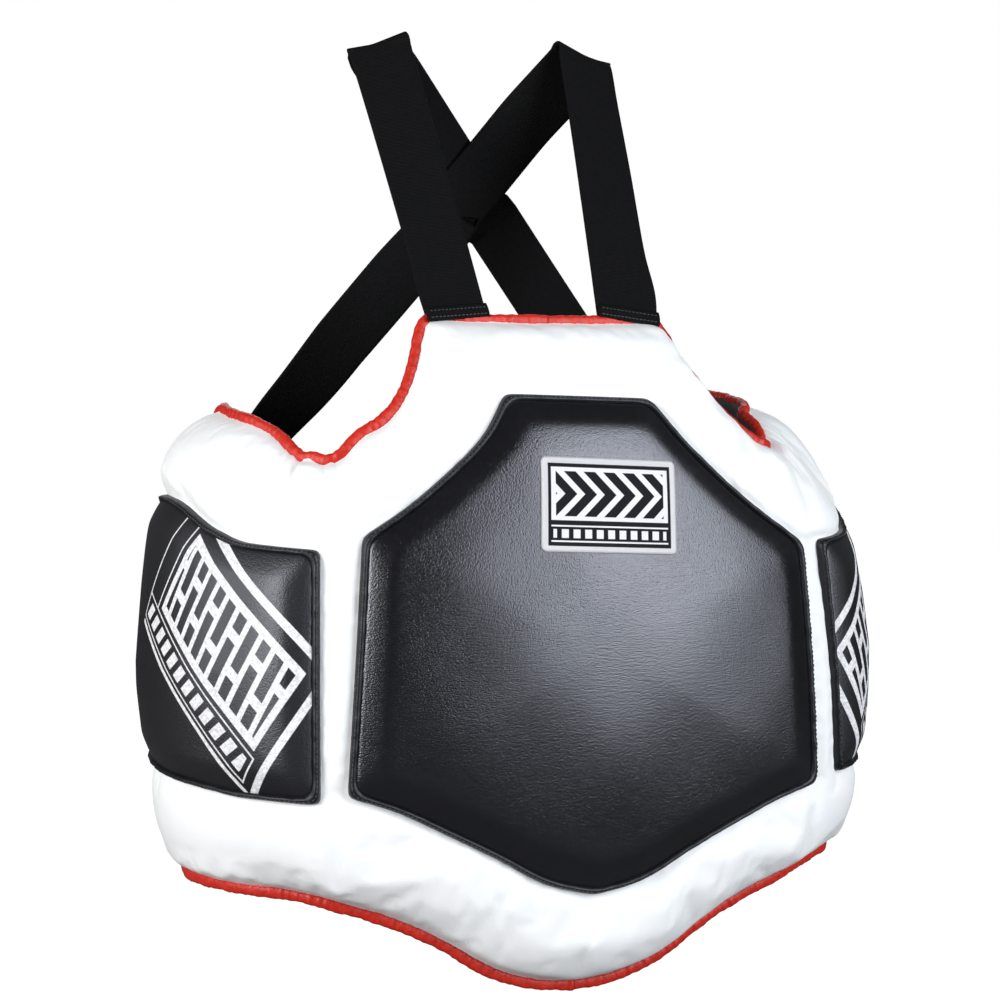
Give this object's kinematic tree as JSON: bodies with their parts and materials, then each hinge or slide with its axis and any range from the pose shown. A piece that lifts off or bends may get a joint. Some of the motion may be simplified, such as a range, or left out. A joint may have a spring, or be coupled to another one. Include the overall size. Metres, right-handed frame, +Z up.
{
  "type": "chest protector",
  "caption": "Padded chest protector: crowned bib with a shield-shaped strike pad, two flexing side wings, shoulder straps that cross behind and an elastic back belt.",
  "frame": {"origin": "on the plane of symmetry, at the height of the hem's lowest point, in the vertical plane that touches the foremost point of the lining", "axes": "+Z up as worn, +X towards the wearer's left, the chest faces -Y"},
  "size_m": [0.6008, 0.3631, 0.7436],
  "materials": {
    "lining": "matt woven nylon",
    "soft_foam": "open-cell foam",
    "dense_foam": "closed-cell foam",
    "white_leather": "smooth synthetic leather, satin",
    "red_binding": "glossy folded binding tape",
    "black_leather": "pebbled synthetic leather, satin",
    "woven_label": "woven label with an overlocked light border",
    "webbing": "ribbed nylon webbing, matt",
    "elastic": "ribbed elastic",
    "hook_and_loop": "hook and loop tape",
    "tab_leather": "satin"
  },
  "bodies": {
    "chest": {"chest_lining": "lining", "chest_comfort_foam": "soft_foam", "chest_impact_foam": "dense_foam", "chest_cover": "white_leather", "neck_binding": "red_binding", "left_armhole_binding": "red_binding", "right_armhole_binding": "red_binding", "chest_hem_binding": "red_binding", "chest_pad_welt": "black_leather", "chest_pad_foam": "dense_foam", "chest_pad_cover": "black_leather", "label_patch": "woven_label", "left_shoulder_strap": "webbing", "right_shoulder_strap": "webbing", "left_strap_fold": "webbing", "right_strap_fold": "webbing"},
    "left_wing": {"left_wing_lining": "lining", "left_wing_comfort_foam": "soft_foam", "left_wing_impact_foam": "dense_foam", "left_wing_cover": "white_leather", "left_wing_top_binding": "red_binding", "left_wing_hem_binding": "red_binding", "left_wing_rear_binding": "red_binding", "left_pad_welt": "black_leather", "left_pad_foam": "dense_foam", "left_pad_cover": "black_leather", "left_strap_anchor": "webbing", "loop_panel": "hook_and_loop"},
    "right_wing": {"right_wing_lining": "lining", "right_wing_comfort_foam": "soft_foam", "right_wing_impact_foam": "dense_foam", "right_wing_cover": "white_leather", "right_wing_top_binding": "red_binding", "right_wing_hem_binding": "red_binding", "right_wing_rear_binding": "red_binding", "right_pad_welt": "black_leather", "right_pad_foam": "dense_foam", "right_pad_cover": "black_leather", "right_strap_anchor": "webbing", "belt_anchor": "elastic"},
    "closure_belt": {"closure_elastic": "elastic", "hook_panel": "hook_and_loop", "pull_tab": "tab_leather"}
  },
  "joints": [
    {"name": "right_wing_flex", "type": "hinge", "parent": "chest", "child": "right_wing", "pos_m": [-0.18602, 0.0094, 0.25], "axis": [0, 0, 1], "range_deg": [0, 23], "stiffness_Nm_per_rad": 1.5},
    {"name": "left_wing_flex", "type": "hinge", "parent": "chest", "child": "left_wing", "pos_m": [0.18602, 0.0094, 0.25], "axis": [0, 0, -1], "range_deg": [0, 23], "stiffness_Nm_per_rad": 1.5},
    {"name": "belt_peel", "type": "hinge", "parent": "right_wing", "child": "closure_belt", "pos_m": [-0.16918, 0.30768, 0.265], "axis": [0, 0, 1], "range_deg": [0, 100]}
  ],
  "couplings": [
    {"joint": "left_wing_flex", "follows": "right_wing_flex", "ratio": 1}
  ]
}
